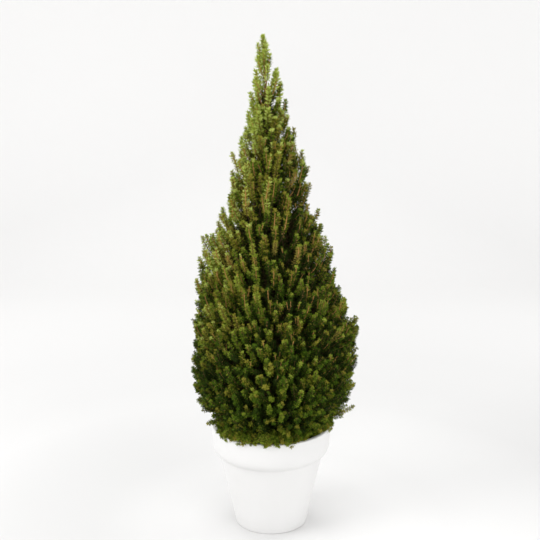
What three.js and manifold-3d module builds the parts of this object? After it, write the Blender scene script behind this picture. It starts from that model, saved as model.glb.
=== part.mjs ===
// A dwarf conical spruce growing in a round white flower pot with a broad band under its rim.
// Millimetres, +Z up, origin at the middle of the pot's flat underside.
import * as THREE from "three";
import { mergeVertices } from "three/addons/utils/BufferGeometryUtils.js";
import Module from "manifold-3d";

const wasm = await Module();
wasm.setup();

// ---------------------------------------------------------------- driving dimensions
const GAP = 0.3; // between solids that touch on the real plant
const DEGREE = Math.PI / 180;

const POT_FACETS = 40;
const POT_HEIGHT = 260;
const RIM_RADIUS = 150;
const FOOT_RADIUS = 90;
const POT_WALL = 4;
const POT_FLOOR = 8;
const FOOT_ROUND = 2.4;
const BAND_HEIGHT = 72.6; // from the lip down to the band's lower edge
const BODY_TOP_RADIUS = 130; // the body just under the band
const LIP_WIDTH = 13; // the flat rim, seen from above
const LIP_DEPTH = 6;
const LIP_ROUND = 2;

// The band's outside, as [less than the rim's radius, height over the band's lower edge].
const BAND_PROFILE = [
  [14, 0],
  [8, 7],
  [4, 18],
  [1.5, 45],
];

const SOIL_TOP = 240;
const SOIL_DISH = 7; // the soil is this much lower at the wall than round the trunk
const SOIL_SHOULDER = 0.72; // share of the soil's radius where it starts to fall off
const SOIL_LEVEL_RADIUS = 28; // the level part round the trunk

const TREE_TOP = 1214;
const TRUNK_TOP = 1120;
const TRUNK_FOOT_RADIUS = 14;
const TRUNK_TIP_RADIUS = 3;
const ROOT_FLARE = 8;
const FLARE_HEIGHT = 26;

// The trunk's line, as [height, x, y]: it leans a little to the right low down and to the left at the top.
const TRUNK_LINE = [
  [SOIL_TOP, 0, 0],
  [330, 7, 2],
  [430, 6, 3],
  [600, -3, 0],
  [760, -7, -3],
  [900, -6, 0],
  [1065, -11, 2],
  [TRUNK_TOP, -16, 1],
  [TREE_TOP, -20, 0],
];

// How far the shoot tips reach from the trunk's line, as [height, reach].
const OUTLINE = [
  [262, 132],
  [275, 143],
  [300, 169],
  [350, 195],
  [450, 206],
  [550, 193],
  [650, 166],
  [740, 138],
  [830, 102],
  [925, 86],
  [960, 68],
  [1060, 40],
  [1140, 24],
  [1190, 11],
  [TREE_TOP, 3],
];

// How steeply the shoots rise, as [height of the shoot's root, degrees].
const SHOOT_RISE = [
  [262, -6],
  [280, -2],
  [310, 30],
  [350, 46],
  [450, 57],
  [600, 64],
  [800, 69],
  [1000, 74],
  [1150, 80],
];

// Where the crown stands out past the outline or falls short of it, as [height, degrees round from +X,
// extra reach, width round the trunk].
const SPRIGS = [
  [838, 0, -8, 50],
  [762, 0, -10, 50],
  [735, 4, 8, 40],
  [650, 0, -24, 80],
  [618, 0, -18, 70],
  [555, -5, -14, 50],
  [500, 6, 10, 26],
  [385, -4, 10, 30],
  [308, -4, 30, 60],
  [815, 182, -10, 50],
  [738, 176, 22, 50],
  [630, 180, 10, 50],
  [455, 181, -16, 60],
  [385, 181, -10, 40],
  [640, 250, 12, 26],
  [430, 300, 12, 26],
  [560, 80, 16, 26],
  [860, 110, 12, 26],
];
const SPRIG_HEIGHT = 26;

// Rings of foliage from the pot up. Each ring's floor is a funnel: it starts at `heel` on the trunk
// and reaches `edge` at the ring's core, and past the core it rises with the shoots.
const RINGS = [
  { name: "skirt", heel: 246, edge: 262, masses: 6, turn: 30, bough: 7 },
  { name: "low", heel: 296, edge: 374, masses: 5, turn: 4, bough: 6.5 },
  { name: "lower_middle", heel: 392, edge: 496, masses: 5, turn: 40, bough: 6 },
  { name: "middle", heel: 506, edge: 622, masses: 4, turn: 12, bough: 5.5 },
  { name: "upper_middle", heel: 630, edge: 752, masses: 4, turn: 57, bough: 5 },
  { name: "upper", heel: 800, edge: 890, masses: 4, turn: 15, bough: 0 },
  { name: "leader", heel: 1030, edge: 1036, masses: 1, turn: 0, bough: 0 },
];
const CEILING = 1400; // over the leader, which has no ring above it

const SHOOT_RADIUS = 12; // out to the needles' tips
const SHOOT_SPACING = 50;
const ROW_RISE = 48;
const ROOT_DEPTH = 22; // how far a shoot's root is sunk in the core
const LEADER_LENGTH = 76;
const LEADER_CORE_RISE = 16; // of its dense inside over the trunk's tip
const LEADER_LUMPS = 7;
const CORE_WALL = 3; // the least of foliage round the trunk
const CORE_DEPTH = 32; // from the outline in to the core
const CORE_SHARE = 0.42; // of the outline's reach, where that is less
const CORE_LUMP = 6;
const CORE_MARGIN = 5; // between a core and the edge of its ring's space
const BARE_SHARE = 0.3; // of the reach: the bare inside, where only boughs run
const BARE_MARGIN = 10; // from there out to the core
const STEM_RADIUS = 3.4;
const STEM_LENGTH = 34; // from its bough's tip into the core
const SEED = 20417;

// ---------------------------------------------------------------- small helpers
function seededRandom(seed) {
  let state = seed >>> 0;
  return () => {
    state = (Math.imul(state, 1664525) + 1013904223) >>> 0;
    return state / 4294967296;
  };
}

// Straight-line reading of a table whose rows start with the height.
function reading(table, height, column = 1) {
  if (height <= table[0][0]) return table[0][column];
  for (let i = 1; i < table.length; i++) {
    const [low, high] = [table[i - 1], table[i]];
    if (height <= high[0]) {
      const share = (height - low[0]) / (high[0] - low[0]);
      return low[column] + share * (high[column] - low[column]);
    }
  }
  return table.at(-1)[column];
}

const axisX = (z) => reading(TRUNK_LINE, z, 1);
const axisY = (z) => reading(TRUNK_LINE, z, 2);

// A point by its distance from the trunk's line, its direction round it and its height.
function aroundTrunk(rho, angle, z) {
  return new THREE.Vector3(axisX(z) + rho * Math.cos(angle), axisY(z) + rho * Math.sin(angle), z);
}

function reach(z, angle) {
  const swell = 1 + 0.035 * Math.sin(3 * angle + z / 70) + 0.025 * Math.sin(5 * angle - z / 45 + 1);
  let far = reading(OUTLINE, z) * swell;
  for (const [height, degrees, extra, width] of SPRIGS) {
    const off = Math.atan2(Math.sin(angle - degrees * DEGREE), Math.cos(angle - degrees * DEGREE));
    const across = (off * far) / width;
    const along = (z - height) / SPRIG_HEIGHT;
    far += extra * Math.exp(-across * across - along * along);
  }
  return far;
}

const rise = (z) => reading(SHOOT_RISE, z) * DEGREE;

function coreReach(z) {
  const far = reading(OUTLINE, z);
  return far - Math.min(CORE_DEPTH, CORE_SHARE * far);
}

// ---------------------------------------------------------------- solids
function solidOf(geometry) {
  const bare = geometry.clone();
  for (const name of ["normal", "uv"]) bare.deleteAttribute(name);
  const merged = mergeVertices(bare, 1e-4);
  return new wasm.Manifold(
    new wasm.Mesh({
      numProp: 3,
      vertProperties: merged.attributes.position.array,
      triVerts: new Uint32Array(merged.index.array),
    }),
  );
}

function geometryOf(solid) {
  const { numProp, vertProperties, triVerts } = solid.getMesh();
  const count = vertProperties.length / numProp;
  const positions = new Float32Array(count * 3);
  for (let i = 0; i < count; i++) positions.set(vertProperties.subarray(i * numProp, i * numProp + 3), i * 3);
  const geometry = new THREE.BufferGeometry();
  geometry.setAttribute("position", new THREE.BufferAttribute(positions, 3));
  geometry.setIndex(new THREE.BufferAttribute(triVerts, 1));
  geometry.computeVertexNormals();
  return geometry;
}

// The largest single body of a solid; scraps that a cut leaves are dropped.
function mainBody(solid) {
  return solid.decompose().reduce((big, body) => (body.volume() > big.volume() ? body : big));
}

// A round limb along a curve, its radius given by a function of the share of the way along.
// An upright limb keeps its rings level, so that its foot is a flat cut.
function limb(curve, radiusAt, sides, rings, upright = false) {
  const geometry = new THREE.CylinderGeometry(1, 1, 1, sides, rings);
  const position = geometry.attributes.position;
  for (let i = 0; i < position.count; i++) {
    const share = THREE.MathUtils.clamp(position.getY(i) + 0.5, 0, 1);
    const middle = curve.getPoint(share);
    const along = upright ? new THREE.Vector3(0, 0, 1) : curve.getTangent(share);
    const side = new THREE.Vector3(0, 1, 0).cross(along).normalize();
    const other = new THREE.Vector3().crossVectors(along, side);
    const onRim = Math.hypot(position.getX(i), position.getZ(i)) > 0.5 ? radiusAt(share) : 0;
    const turn = Math.atan2(position.getX(i), position.getZ(i));
    middle.addScaledVector(side, onRim * Math.sin(turn)).addScaledVector(other, -onRim * Math.cos(turn));
    position.setXYZ(i, middle.x, middle.y, middle.z);
  }
  return geometry;
}

// ---------------------------------------------------------------- pot and soil
function lathe(profile) {
  const points = profile.map(([radius, height]) => new THREE.Vector2(radius, height));
  return new THREE.LatheGeometry(points, POT_FACETS).rotateX(Math.PI / 2);
}

const BAND_BOTTOM = POT_HEIGHT - BAND_HEIGHT;
const BAND_WALL = 2 * POT_WALL; // the band is thicker than the body
const SHOULDER_HEIGHT = 14; // over the band's lower edge, where the inside widens again
const SHOULDER_STEP = 3;
const LIP_SLOPE = 3; // under the lip

// The inside of the pot from its floor up to a height, drawn in by `clear` from the walls.
function insideProfile(clear, top) {
  const bandInside = RIM_RADIUS - BAND_WALL - clear;
  const shoulder = BAND_BOTTOM + SHOULDER_HEIGHT;
  const share = (top - shoulder) / (POT_HEIGHT - shoulder);
  return [
    [FOOT_RADIUS - POT_WALL - clear, POT_FLOOR + clear],
    [BODY_TOP_RADIUS - POT_WALL - clear, BAND_BOTTOM + POT_WALL + clear],
    [bandInside - SHOULDER_STEP, shoulder + clear],
    [bandInside - SHOULDER_STEP * (1 - share), top],
  ];
}

function potGeometry() {
  const lipInside = RIM_RADIUS - LIP_WIDTH;
  return lathe([
    [0, 0],
    [FOOT_RADIUS - FOOT_ROUND, 0],
    [FOOT_RADIUS, FOOT_ROUND],
    [BODY_TOP_RADIUS, BAND_BOTTOM - 1],
    ...BAND_PROFILE.map(([less, height]) => [RIM_RADIUS - less, BAND_BOTTOM + height]),
    [RIM_RADIUS, POT_HEIGHT - 2 * LIP_ROUND],
    [RIM_RADIUS - LIP_ROUND, POT_HEIGHT],
    [lipInside + LIP_ROUND, POT_HEIGHT],
    [lipInside, POT_HEIGHT - LIP_ROUND],
    [lipInside, POT_HEIGHT - LIP_DEPTH],
    ...insideProfile(0, POT_HEIGHT - LIP_DEPTH - LIP_SLOPE).reverse(),
    [0, POT_FLOOR],
  ]);
}

function soilGeometry() {
  const edge = insideProfile(GAP, SOIL_TOP - SOIL_DISH);
  return lathe([
    [0, POT_FLOOR + GAP],
    ...edge,
    [SOIL_SHOULDER * edge.at(-1)[0], SOIL_TOP - SOIL_DISH / 3],
    [SOIL_LEVEL_RADIUS, SOIL_TOP],
    [0, SOIL_TOP],
  ]);
}

// ---------------------------------------------------------------- trunk and boughs
const trunkCurve = new THREE.CatmullRomCurve3(
  TRUNK_LINE.filter(([z]) => z <= TRUNK_TOP).map(([z, x, y], i) => new THREE.Vector3(x, y, i ? z : z + GAP)),
);

function trunkRadius(share) {
  const up = share * (TRUNK_TOP - SOIL_TOP);
  const flare = ROOT_FLARE * Math.exp(-up / FLARE_HEIGHT);
  return TRUNK_TIP_RADIUS + (TRUNK_FOOT_RADIUS - TRUNK_TIP_RADIUS) * Math.pow(1 - share, 0.85) + flare;
}

const trunkRadiusAt = (z) => trunkRadius(Math.min((z - SOIL_TOP) / (TRUNK_TOP - SOIL_TOP), 1));

// The ring's floor at a distance from the trunk's line.
function floorOf(index, rho) {
  if (index >= RINGS.length) return CEILING;
  const { heel, edge } = RINGS[index];
  if (index === 0) return rho < 0.86 * RIM_RADIUS ? heel : edge;
  const coreEdge = coreReach(edge);
  if (rho <= coreEdge) return heel + ((edge - heel) * rho) / coreEdge;
  return edge + (rho - coreEdge) * Math.tan(rise(edge));
}

// Where a bough runs: from the trunk's middle out to the bare inside's edge.
function boughCurve(index, angle) {
  const { heel, edge } = RINGS[index];
  const tipRho = BARE_SHARE * reading(OUTLINE, edge);
  const tipZ = 0.5 * (floorOf(index, tipRho) + floorOf(index + 1, tipRho));
  const rootZ = heel + 0.4 * (RINGS[index + 1].heel - heel);
  return new THREE.CatmullRomCurve3([
    aroundTrunk(0, angle, rootZ),
    aroundTrunk(0.55 * tipRho, angle, rootZ + 0.42 * (tipZ - rootZ)),
    aroundTrunk(tipRho, angle, tipZ),
  ]);
}

// ---------------------------------------------------------------- foliage
// A spray of needles: a slim three-sided stem with two whorls of needle points and a pointed tip.
const SPRAY_ROWS = [
  // share of the length, share of the radius, turn in degrees
  [0, 0.24, 0],
  [0.52, 1, 60],
  [0.43, 0.42, 90],
  [0.86, 0.86, 120],
  [0.76, 0.4, 150],
  [1, 0, 150],
];

function sprayGeometry(length, radius) {
  const last = SPRAY_ROWS.length - 1;
  const geometry = new THREE.ConeGeometry(1, 1, 3, last);
  const position = geometry.attributes.position;
  for (let i = 0; i < position.count; i++) {
    const row = Math.round((position.getY(i) + 0.5) * last);
    const [along, out, turn] = SPRAY_ROWS[row];
    const onSide = Math.hypot(position.getX(i), position.getZ(i)) > 1e-6 || row === last ? 1 : 0;
    const angle = Math.atan2(position.getZ(i), position.getX(i)) + turn * DEGREE;
    position.setXYZ(
      i,
      onSide * out * radius * Math.cos(angle),
      along * length,
      onSide * out * radius * Math.sin(angle),
    );
  }
  return geometry;
}

function placedSpray(root, tip, radius, spin) {
  const along = new THREE.Vector3().subVectors(tip, root);
  const geometry = sprayGeometry(along.length(), radius).rotateY(spin);
  const turn = new THREE.Quaternion().setFromUnitVectors(new THREE.Vector3(0, 1, 0), along.normalize());
  return geometry.applyQuaternion(turn).translate(root.x, root.y, root.z);
}

// Whether every corner of a spray is in its mass's own space.
function keepsToSpace(geometry, index, from, to) {
  const position = geometry.attributes.position;
  const single = RINGS[index].masses === 1;
  for (let i = 0; i < position.count; i++) {
    const z = position.getZ(i);
    const [x, y] = [position.getX(i) - axisX(z), position.getY(i) - axisY(z)];
    const rho = Math.hypot(x, y);
    if (z < floorOf(index, rho) + GAP || z > floorOf(index + 1, rho) - 2) return false;
    if (single) continue;
    const past = x * Math.sin(from) - y * Math.cos(from);
    const before = y * Math.cos(to) - x * Math.sin(to);
    if (past > -GAP || before > -GAP) return false;
  }
  return true;
}

// The leader's dense inside, a sleeve with lumps round the top of the trunk.
function sleeveGeometry(random) {
  const foot = RINGS.at(-1).edge + 2 * GAP;
  const top = TRUNK_TOP + LEADER_CORE_RISE;
  const line = new THREE.LineCurve3(aroundTrunk(0, 0, foot), aroundTrunk(0, 0, top));
  const lumps = Array.from({ length: LEADER_LUMPS }, () => 1 - 0.2 * random());
  const radiusAt = (share) => {
    const z = foot + share * (top - foot);
    const lump = lumps[Math.round(share * (LEADER_LUMPS - 1))];
    return Math.max(coreReach(z) * lump, trunkRadiusAt(z) + CORE_WALL);
  };
  return limb(line, radiusAt, 8, LEADER_LUMPS - 1);
}

// The dense inside of a mass, a lump that fills its ring and sector as far out as the core reaches.
function coreGeometry(index, from, to, random) {
  const { masses, bough } = RINGS[index];
  if (masses === 1) return sleeveGeometry(random);
  const across = Math.max(3, Math.round((to - from) / DEGREE / 24));
  const geometry = new THREE.BoxGeometry(1, 1, 1, across, 2, 2);
  const merged = mergeVertices(stripped(geometry), 1e-5);
  const position = merged.attributes.position;
  for (let i = 0; i < position.count; i++) {
    const [u, v, w] = [position.getX(i) + 0.5, position.getY(i) + 0.5, position.getZ(i) + 0.5];
    const lump = CORE_LUMP * random();
    let z = RINGS[index].edge;
    let rho = coreReach(z);
    for (let step = 0; step < 8; step++) {
      const bulge = CORE_LUMP * (0.5 * Math.pow(2 * v - 1, 2) + 0.3 * Math.pow(2 * u - 1, 2));
      const outer = coreReach(z) - lump - bulge;
      const inner = bough ? BARE_SHARE * reading(OUTLINE, z) + BARE_MARGIN : trunkRadiusAt(z) + CORE_WALL;
      rho = inner + (Math.max(outer, inner + 4) - inner) * w;
      const low = floorOf(index, rho) + CORE_MARGIN;
      const high = Math.min(floorOf(index + 1, rho) - CORE_MARGIN, TRUNK_TOP + 20);
      z = low + Math.max(high - low, 6) * v;
    }
    const side = CORE_MARGIN / Math.max(rho, 12);
    const point = aroundTrunk(rho, from + side + (to - from - 2 * side) * u, z);
    position.setXYZ(i, point.x, point.y, point.z);
  }
  return merged;
}

function stripped(geometry) {
  for (const name of ["normal", "uv"]) geometry.deleteAttribute(name);
  return geometry;
}

// How far out of the core a shoot runs before it meets the outline.
function runToOutline(rho, z, angle, steep) {
  let run = CORE_DEPTH;
  for (let step = 0; step < 12; step++) {
    const short = reach(z + run * Math.sin(steep), angle) - rho - run * Math.cos(steep);
    run = THREE.MathUtils.clamp(run + 0.8 * short, 0.6 * CORE_DEPTH, 3 * CORE_DEPTH);
  }
  return run;
}

function spraysOf(index, from, to, random) {
  const { edge, masses } = RINGS[index];
  const leader = masses === 1;
  const top = leader ? TREE_TOP - LEADER_LENGTH : RINGS[index + 1].edge;
  const lowest = edge + (leader ? 12 : (SHOOT_RADIUS + 2) / Math.cos(rise(edge)));
  const highest = leader ? top : top - (SHOOT_RADIUS + 3) / Math.cos(rise(top));
  const rows = Math.max(2, Math.round((highest - lowest) / ROW_RISE) + 1);
  const sprays = [];
  for (let row = 0; row < rows; row++) {
    const rowZ = lowest + ((highest - lowest) * row) / (rows - 1);
    const count = Math.max(2, Math.round(((to - from) * reading(OUTLINE, rowZ)) / SHOOT_SPACING) - (row % 2));
    for (let n = 0; n < count; n++) {
      const place = n + 0.5 + 0.1 * (random() - 0.5) + (leader ? 0.4 * row : 0);
      const angle = from + ((to - from) * place) / count;
      const steep = rise(rowZ) + 6 * DEGREE * (random() - 0.5);
      const z = rowZ + 5 * (random() - 0.5);
      const rho = coreReach(z);
      const run = runToOutline(rho, z, angle, steep) * (0.92 + 0.12 * random());
      const [out, up] = [Math.cos(steep), Math.sin(steep)];
      const root = aroundTrunk(rho - ROOT_DEPTH * out, angle, z - ROOT_DEPTH * up);
      const tip = aroundTrunk(rho + run * out, angle, z + run * up);
      const spray = placedSpray(root, tip, SHOOT_RADIUS * (0.8 + 0.2 * random()), 2 * Math.PI * random());
      if (keepsToSpace(spray, index, from, to)) sprays.push(spray);
    }
  }
  return sprays;
}

// The leader: one upright spray that carries on the trunk's line to the top.
function leaderSpray() {
  const root = aroundTrunk(0, 0, TRUNK_TOP + GAP + 2);
  return placedSpray(root, aroundTrunk(0, 0, TREE_TOP), SHOOT_RADIUS * 0.9, 0);
}

function massSolid(index, from, to, boughTip, trunkClear, random) {
  const ring = RINGS[index];
  const middle = 0.5 * (from + to);
  let solid = solidOf(coreGeometry(index, from, to, random));
  if (boughTip) {
    const start = boughTip.point.clone().addScaledVector(boughTip.along, GAP);
    const end = start.clone().addScaledVector(boughTip.along, STEM_LENGTH);
    solid = solid.add(solidOf(limb(new THREE.LineCurve3(start, end), () => STEM_RADIUS, 5, 1)));
  } else {
    const heel = ring.heel + 0.35 * (ring.edge - ring.heel);
    const end = aroundTrunk(0.5 * coreReach(ring.edge), middle, ring.edge + 6);
    const stem = new THREE.LineCurve3(aroundTrunk(0, middle, heel + 6), end);
    solid = solid.add(solidOf(limb(stem, () => STEM_RADIUS, 5, 1)));
  }
  for (const spray of spraysOf(index, from, to, random)) solid = solid.add(solidOf(spray));
  if (index === RINGS.length - 1) solid = solid.add(solidOf(leaderSpray()));
  return mainBody(solid.subtract(trunkClear));
}

// ---------------------------------------------------------------- the plant
const finishes = {
  pot: new THREE.MeshStandardMaterial({ color: 0xf2f1ee, roughness: 0.45, metalness: 0 }),
  soil: new THREE.MeshStandardMaterial({ color: 0x2b211a, roughness: 0.95, metalness: 0 }),
  bark: new THREE.MeshStandardMaterial({ color: 0x6b4a33, roughness: 0.85, metalness: 0 }),
  needles: new THREE.MeshStandardMaterial({ color: 0x4c5a1c, roughness: 0.6, metalness: 0 }),
};

const plant = new THREE.Group();

function addMesh(name, geometry, finish) {
  const mesh = new THREE.Mesh(geometry, finishes[finish]);
  mesh.name = name;
  plant.add(mesh);
}

addMesh("pot", potGeometry(), "pot");
addMesh("soil", soilGeometry(), "soil");
addMesh("trunk", limb(trunkCurve, trunkRadius, 9, 20, true), "bark");
const trunkClear = solidOf(limb(trunkCurve, (share) => trunkRadius(share) + GAP, 9, 20, true));
const tipCap = new THREE.LineCurve3(aroundTrunk(0, 0, TRUNK_TOP - 4), aroundTrunk(0, 0, TRUNK_TOP + GAP));
const trunkSpace = trunkClear.add(solidOf(limb(tipCap, () => TRUNK_TIP_RADIUS + GAP, 9, 1)));

const random = seededRandom(SEED);
RINGS.forEach((ring, index) => {
  for (let n = 0; n < ring.masses; n++) {
    const from = ring.turn * DEGREE + (n / ring.masses) * 2 * Math.PI;
    const to = from + (2 * Math.PI) / ring.masses;
    const label = ring.masses > 1 ? `_${n + 1}` : "";
    let boughTip = null;
    if (ring.bough) {
      const curve = boughCurve(index, 0.5 * (from + to));
      const taper = (share) => ring.bough + (STEM_RADIUS - ring.bough) * share;
      const bough = solidOf(limb(curve, taper, 6, 3)).subtract(trunkClear);
      addMesh(`${ring.name}_bough${label}`, geometryOf(mainBody(bough)), "bark");
      boughTip = { point: curve.getPoint(1), along: curve.getTangent(1) };
    }
    const mass = massSolid(index, from, to, boughTip, trunkSpace, random);
    addMesh(`${ring.name}_foliage${label}`, geometryOf(mass), "needles");
  }
});

export default plant;
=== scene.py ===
"""A dwarf conical spruce in a round white pot: its looks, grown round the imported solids.

Pot and soil are turned smooth, trunk and boughs get bark, and the foliage is grown shoot by shoot within
the reach of the solid masses. Lengths are in millimetres until a mesh is made of them.
"""

import math

import bmesh
import bpy
import numpy as np
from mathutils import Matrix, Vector, noise


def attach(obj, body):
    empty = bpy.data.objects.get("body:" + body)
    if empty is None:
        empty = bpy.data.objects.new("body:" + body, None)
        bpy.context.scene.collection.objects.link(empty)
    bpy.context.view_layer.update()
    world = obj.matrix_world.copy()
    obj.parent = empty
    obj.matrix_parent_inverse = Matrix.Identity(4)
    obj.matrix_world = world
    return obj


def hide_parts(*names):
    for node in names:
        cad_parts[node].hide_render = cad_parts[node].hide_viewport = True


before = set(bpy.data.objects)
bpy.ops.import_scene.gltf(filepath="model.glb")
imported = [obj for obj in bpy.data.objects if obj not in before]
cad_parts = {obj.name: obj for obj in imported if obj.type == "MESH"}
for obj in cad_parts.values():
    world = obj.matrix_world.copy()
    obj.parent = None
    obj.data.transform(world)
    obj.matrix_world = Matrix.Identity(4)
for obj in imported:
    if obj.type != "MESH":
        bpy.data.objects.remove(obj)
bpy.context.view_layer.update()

MM = 0.001
DEGREE = math.pi / 180
FULL_TURN = 2 * math.pi
GOLDEN_TURN = math.pi * (3 - math.sqrt(5))
SEED = 20417

# ---------------------------------------------------------------- camera and studio, in metres
CAMERA_PLACE = (-0.003, -2.30, 1.15)
CAMERA_DIP = 12.17  # degrees below level
SENSOR_WIDTH = 36
LENS = 64.3
SOFT_BOXES = [
    # name, place, what it faces, size, power in watts
    ("key_light", (-2.2, -0.9, 1.9), (0, 0, 0.8), 1.6, 34),
    ("top_light", (-0.3, -0.5, 2.6), (0, 0, 0.9), 1.4, 9),
    ("rear_light_left", (-1.3, 2.0, 2.2), (0, 0, 0.8), 1.6, 14),
    ("rear_light_right", (1.5, 1.8, 2.0), (0, 0, 0.8), 1.6, 12),
    ("fill_light", (1.4, -1.8, 0.9), (0, 0, 0.4), 1.2, 12),
]
SKY_STRENGTH = 0.925
FLOOR_HALF_WIDTH = 4
FLOOR_BEND = 1.5
PAPER_REACH = 5
PAPER_PAINTED_LIGHT_GREYS = [
    # distance from the pot's axis, grey of the paper: a painted shadow at the pot's foot, painted light
    # against the crown's cast shadow beyond it and towards the far backdrop
    (0.10, 0.68),
    (0.14, 0.72),
    (0.21, 0.752),
    (0.32, 0.745),
    (0.45, 0.706),
    (0.65, 0.692),
    (1.1, 0.675),
    (1.5, 0.69),
    (2.4, 0.765),
    (3.3, 0.835),
    (4.2, 0.905),
    (4.8, 0.93),
]
PAINTED_SIDE_LIGHT_RADIUS = 0.9  # within it the paper is painted lighter to the right and darker to the left, against the key light from the left
PAINTED_SIDE_LIGHT_SLOPE = 0.48

# ---------------------------------------------------------------- pot and soil
POT_HEIGHT = 260
RIM_RADIUS = 150
FOOT_RADIUS = 90
BODY_TOP_RADIUS = 130
BAND_BOTTOM = 187.4
LIP_WIDTH = 13
POT_SEGMENTS = 144
SOIL_TOP = 240
SOIL_DISH = 7
SOIL_WALL = RIM_RADIUS - 8.6
SOIL_SEGMENTS = 72
CRUMBS = 1500

# ---------------------------------------------------------------- the tree, as the source gives it
TREE_TOP = 1214
TRUNK_TOP = 1120
TRUNK_FOOT_RADIUS = 14
TRUNK_TIP_RADIUS = 3
ROOT_FLARE = 8
FLARE_HEIGHT = 26
CORE_DEPTH = 32
CORE_SHARE = 0.42
BARE_SHARE = 0.3
SPRIG_HEIGHT = 26
TRUNK_LINE = [
    # height, x, y
    (SOIL_TOP, 0, 0),
    (330, 7, 2),
    (430, 6, 3),
    (600, -3, 0),
    (760, -7, -3),
    (900, -6, 0),
    (1065, -11, 2),
    (TRUNK_TOP, -16, 1),
    (TREE_TOP, -20, 0),
]
OUTLINE = [
    # height, how far the foliage reaches from the trunk's line
    (262, 132),
    (275, 143),
    (300, 169),
    (350, 195),
    (450, 206),
    (550, 193),
    (650, 166),
    (740, 138),
    (830, 102),
    (925, 86),
    (960, 68),
    (1060, 40),
    (1140, 24),
    (1190, 11),
    (TREE_TOP, 3),
]
SHOOT_RISE = [
    # height, degrees above level at which shoots leave the dense inside
    (262, -6),
    (280, -2),
    (310, 30),
    (350, 46),
    (450, 57),
    (600, 64),
    (800, 69),
    (1000, 74),
    (1150, 80),
]
SPRIGS = [
    # height, direction in degrees, what the outline gains there, and how wide round the trunk
    (838, 0, -8, 50),
    (762, 0, -10, 50),
    (735, 4, 8, 40),
    (650, 0, -24, 80),
    (618, 0, -18, 70),
    (555, -5, -14, 50),
    (500, 6, 10, 26),
    (385, -4, 10, 30),
    (308, -4, 30, 60),
    (815, 182, -10, 50),
    (738, 176, 22, 50),
    (630, 180, 10, 50),
    (455, 181, -16, 60),
    (385, 181, -10, 40),
    (640, 250, 12, 26),
    (430, 300, 12, 26),
    (560, 80, 16, 26),
    (860, 110, 12, 26),
]
RINGS = [
    # name, height at the trunk and at the edge, masses, turn in degrees, radius of a bough's foot
    ("skirt", 246, 262, 6, 30, 7),
    ("low", 296, 374, 5, 4, 6.5),
    ("lower_middle", 392, 496, 5, 40, 6),
    ("middle", 506, 622, 4, 12, 5.5),
    ("upper_middle", 630, 752, 4, 57, 5),
    ("upper", 800, 890, 4, 15, 0),
    ("leader", 1030, 1036, 1, 0, 0),
]
ABOVE_ALL = 1400
BOUGH_TIP_RADIUS = 3.4
TRUNK_STEPS = 150
BOUGH_STEPS = 16

# ---------------------------------------------------------------- shoots
LEADING, SPIRE, LEADER, SKIRT, OUTER = range(5)  # kinds of shoots that end at the outline
LEADING_SHOOTS = 1380
SPIRE_SHOOTS = 19
SKIRT_SHOOTS = 420
OUTER_SHOOTS = 96
INNER_SHOOTS = 3300
LEADING_FOOT = 268
SPIRE_FOOT = 1000
HEIGHT_JITTER = 9
TURN_JITTER = 0.07
RISE_SPREAD = 5  # degrees
LEVEL_RISE = 0.6  # of the usual rise, for the shoots that lie lower
STEEPEST = 88  # degrees
SET_OUT = [0, 6, 14]  # how far past the dense inside leading shoots start
SET_OUT_SHARES = [0.76, 0.16, 0.08]
ROOT_DEPTH = (24, 46)  # how deep in the dense inside their feet are
ROOT_DIP = 0.55
LEAN = 0.12
SHORT_OF_OUTLINE = 4  # in the upper crown, so that needles don't pass the outline
OVER_TIP = 5  # how far needles reach over a shoot's end and to its sides
LEAFED_LENGTH = 72
LEAST_BARE = 0.08  # share of a shoot without needles
SIDE_BARE = 0.06
INNER_BARE = 0.05
MOSSY_ABOVE = 800  # height from which the inner shoots are green too

# Tables of a height and a value there.
LEADING_CROWD = [(268, 1.75), (480, 1.5), (640, 0.92), (700, 0.72), (900, 0.70), (960, 0.42)]
LEVEL_SHARE = [(300, 0.55), (520, 0.5), (680, 0.0)]  # of the leading shoots, those that lie lower
UPPER_CROWN = [(600, 0), (680, 1)]  # where shoots stand in clumps with gaps between them
UPTURN = [(262, 0), (300, 6), (450, 12), (620, 19)]  # of a shoot's end, in degrees
UPTURNED_SHARE = [(300, 0.62), (600, 0.88)]  # of a shoot's run
OUTER_LENGTH = [(300, 46), (500, 56), (900, 52), (1130, 40)]
OUTER_SPREAD = [(300, 0.95), (430, 0.72)]  # of that length, how much runs outwards
OUTER_RISE = [(300, 0.4), (430, 1.0)]  # and upwards
SIDE_SHOOT_SHARE = [(520, 1.0), (700, 0.6)]
SPIRE_BARE = [(1000, 0.56), (1060, 0.5), (1120, 0.22)]

# Ranks of leading shoots: how many have it, how far they run, and what that gains in the upper crown.
RANKS = np.array([(0.22, 0.5, -0.08), (0.3, 0.72, -0.06), (0.29, 0.88, -0.02), (0.19, 1.04, 0.10)])

# Tips that stand out of the rest, as heights and distances from the trunk's line.
RIGHT_TIPS = [
    (1129, 32), (1106, 40), (1038, 41), (1023, 49), (981, 60), (954, 69), (946, 86), (908, 95), (871, 92),
    (806, 125), (772, 132), (721, 149), (716, 156), (651, 148), (606, 169), (489, 205), (446, 206),
    (367, 205), (312, 206),
]
LEFT_TIPS = [
    (1111, 24), (1081, 41), (1048, 38), (1025, 45), (979, 67), (942, 91), (891, 91), (809, 116), (777, 126),
    (746, 142), (743, 156), (706, 162), (676, 166), (649, 170), (616, 178), (528, 194), (482, 197),
    (440, 204), (378, 197), (320, 186),
]
SKIRT_REACH = [
    # direction round the pot in degrees, how far the lowest shoots spread
    (-180, 134),
    (-170, 137),
    (-158, 143),
    (-147, 150),
    (-136, 154),
    (-112, 157),
    (-78, 156),
    (-58, 140),
    (-45, 131),
    (-34, 133),
    (-22, 147),
    (-10, 153),
    (10, 150),
    (30, 140),
    (150, 134),
    (180, 134),
]

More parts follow.
